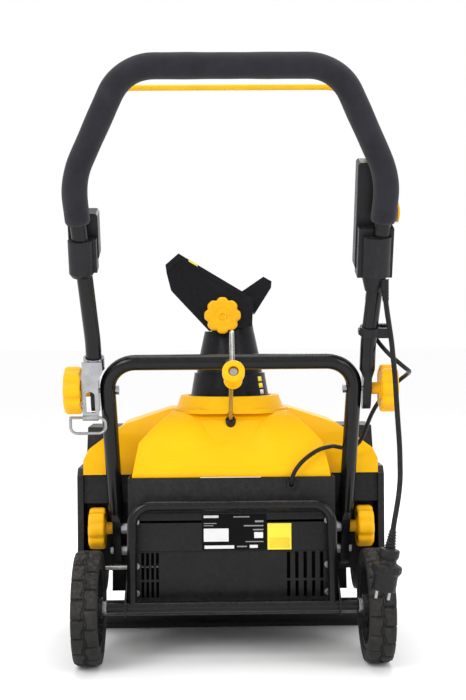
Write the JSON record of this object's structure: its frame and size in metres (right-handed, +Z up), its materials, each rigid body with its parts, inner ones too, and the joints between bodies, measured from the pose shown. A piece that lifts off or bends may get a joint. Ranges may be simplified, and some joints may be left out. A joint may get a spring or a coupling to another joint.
{
  "type": "walk-behind snow thrower",
  "caption": "Corded electric walk-behind snow thrower: folding foam-gripped handle with bail, hand-cranked chute, faceted cover and paddle auger on a two-wheeled chassis.",
  "frame": {"origin": "centre of the object's box, at the ground it stands on", "axes": "+X is the operator's right, +Y is forward to the auger, +Z is up"},
  "size_m": [0.5535, 0.6177, 0.9283],
  "materials": {
    "black_housing": "fine-grained moulded black plastic",
    "yellow_cover": "satin yellow moulded plastic",
    "panel": "smooth black plastic",
    "frame_tube": "gloss black powder coat",
    "foam": "soft closed-cell foam, matt dark grey",
    "control_plastic": "satin black plastic",
    "yellow_knob": "satin yellow plastic",
    "yellow_rod": "yellow coated steel rod",
    "zinc": "zinc-plated steel",
    "steel_rod": "plated steel rod",
    "lead_rubber": "black rubber cable sheath",
    "plug_rubber": "matt black moulded rubber",
    "tyre": "worn black rubber-like tread, slightly dusty",
    "wheel_plastic": "black plastic wheel",
    "chute_plastic": "satin black plastic",
    "paddle": "black rubber",
    "motor_case": "painted steel can",
    "belt": "ribbed rubber belt"
  },
  "bodies": {
    "chassis": {"auger_housing": "black_housing", "scraper_bar": "black_housing", "motor_housing": "black_housing", "rear_panel": "panel", "top_cover": "yellow_cover", "belt_cover": "black_housing", "right_side_cover": "black_housing", "motor": "motor_case", "drive_belt": "belt", "auger_bearings": "steel_rod", "chute_retainer": "black_housing", "crank_bushing": "control_plastic", "left_side_plate": "frame_tube", "right_side_plate": "frame_tube", "wheel_frame": "frame_tube", "frame_spacers": "zinc", "axle": "zinc", "axle_sleeve": "frame_tube", "axle_collars": "zinc", "axle_caps": "zinc", "lower_frame": "frame_tube", "frame_bolts": "zinc", "clamp_bolts": "zinc", "panel_screws": "zinc", "lead_grommet": "lead_rubber", "crank_guide": "frame_tube", "motor_lead": "lead_rubber"},
    "handle": {"upper_handle": "frame_tube", "foam_grip": "foam", "bail_bracket": "control_plastic", "switch_box": "control_plastic", "button_collar": "control_plastic", "cord_clip": "control_plastic", "cord_anchor": "zinc", "mains_lead": "lead_rubber", "mains_plug": "plug_rubber", "plug_pins": "zinc"},
    "bail_lever": {"bail": "yellow_rod"},
    "start_button": {"power_button": "yellow_knob"},
    "anchor_ring": {"anchor_loop": "zinc"},
    "upper_knob_left": {"left_upper_knob": "yellow_knob"},
    "upper_knob_right": {"right_upper_knob": "yellow_knob"},
    "lower_knob_left": {"left_lower_knob": "yellow_knob"},
    "lower_knob_right": {"right_lower_knob": "yellow_knob"},
    "auger": {"auger_shaft": "steel_rod", "auger_drum": "black_housing", "auger_paddles": "paddle"},
    "rotor": {"motor_rotor": "steel_rod"},
    "wheel_left": {"left_wheel": "wheel_plastic", "left_tyre": "tyre"},
    "wheel_right": {"right_wheel": "wheel_plastic", "right_tyre": "tyre"},
    "chute_tube": {"chute": "chute_plastic", "chute_gear": "black_housing", "deflector_pins": "zinc"},
    "chute_deflector": {"deflector": "chute_plastic"},
    "tilt_knob": {"deflector_knob": "yellow_knob"},
    "crank": {"crank_rod": "steel_rod"},
    "grip": {"crank_grip": "yellow_knob"}
  },
  "joints": [
    {"name": "handle_fold", "type": "hinge", "parent": "chassis", "child": "handle", "pos_m": [0, -0.07055, 0.43453], "axis": [1, 0, 0], "range_deg": [-110, 0], "deforming": ["motor_lead"]},
    {"name": "bail_squeeze", "type": "hinge", "parent": "handle", "child": "bail_lever", "pos_m": [0, -0.11512, 0.67342], "axis": [1, 0, 0], "range_deg": [0, 12], "stiffness_Nm_per_rad": 4, "springref_deg": -11.46},
    {"name": "start_press", "type": "slide", "parent": "handle", "child": "start_button", "axis": [-1, 0, 0], "range_m": [0, 0.003], "stiffness_N_per_m": 900, "springref_m": -0.002},
    {"name": "anchor_loop_swing", "type": "hinge", "parent": "handle", "child": "anchor_ring", "pos_m": [0, -0.07255, 0.39091], "axis": [1, 0, 0], "range_deg": [-60, 20]},
    {"name": "left_upper_knob_turn", "type": "hinge", "parent": "chassis", "child": "upper_knob_left", "pos_m": [-0.25, -0.07055, 0.43453], "axis": [-1, 0, 0], "range_deg": [0, 720]},
    {"name": "left_lower_knob_turn", "type": "hinge", "parent": "chassis", "child": "lower_knob_left", "pos_m": [-0.222, 0.0194, 0.2002], "axis": [-1, 0, 0], "range_deg": [0, 720]},
    {"name": "right_upper_knob_turn", "type": "hinge", "parent": "chassis", "child": "upper_knob_right", "pos_m": [0.25, -0.07055, 0.43453], "axis": [1, 0, 0], "range_deg": [0, 720]},
    {"name": "right_lower_knob_turn", "type": "hinge", "parent": "chassis", "child": "lower_knob_right", "pos_m": [0.222, 0.0194, 0.2002], "axis": [1, 0, 0], "range_deg": [0, 720]},
    {"name": "left_wheel_spin", "type": "hinge", "parent": "chassis", "child": "wheel_left", "pos_m": [-0.228, -0.0831, 0.09], "axis": [1, 0, 0], "continuous": true},
    {"name": "right_wheel_spin", "type": "hinge", "parent": "chassis", "child": "wheel_right", "pos_m": [0.228, -0.0831, 0.09], "axis": [1, 0, 0], "continuous": true},
    {"name": "auger_spin", "type": "hinge", "parent": "chassis", "child": "auger", "pos_m": [0, 0.1869, 0.136], "axis": [1, 0, 0], "continuous": true},
    {"name": "motor_spin", "type": "hinge", "parent": "chassis", "child": "rotor", "pos_m": [-0.09, 0.0229, 0.134], "axis": [1, 0, 0], "continuous": true},
    {"name": "chute_turn", "type": "hinge", "parent": "chassis", "child": "chute_tube", "pos_m": [0, 0.0769, 0.4], "axis": [0, 0, 1], "range_deg": [-180, 0]},
    {"name": "crank_turn", "type": "hinge", "parent": "chassis", "child": "crank", "pos_m": [0, 0.0019, 0.374], "axis": [0, -0.7478, 0.6639], "range_deg": [0, 1620]},
    {"name": "crank_grip_spin", "type": "hinge", "parent": "crank", "child": "grip", "pos_m": [0, -0.27675, 0.46091], "axis": [0, -0.9511, 0.309], "continuous": true},
    {"name": "deflector_tilt", "type": "hinge", "parent": "chute_tube", "child": "chute_deflector", "pos_m": [-0.012, 0.0769, 0.554], "axis": [0, 1, 0], "range_deg": [-30, 12]},
    {"name": "tilt_knob_turn", "type": "hinge", "parent": "chute_deflector", "child": "tilt_knob", "pos_m": [-0.012, 0.0139, 0.554], "axis": [0, -1, 0], "range_deg": [0, 720]}
  ],
  "couplings": [
    {"joint": "motor_spin", "follows": "auger_spin", "ratio": 4.3333},
    {"joint": "crank_turn", "follows": "chute_turn", "ratio": -9}
  ]
}
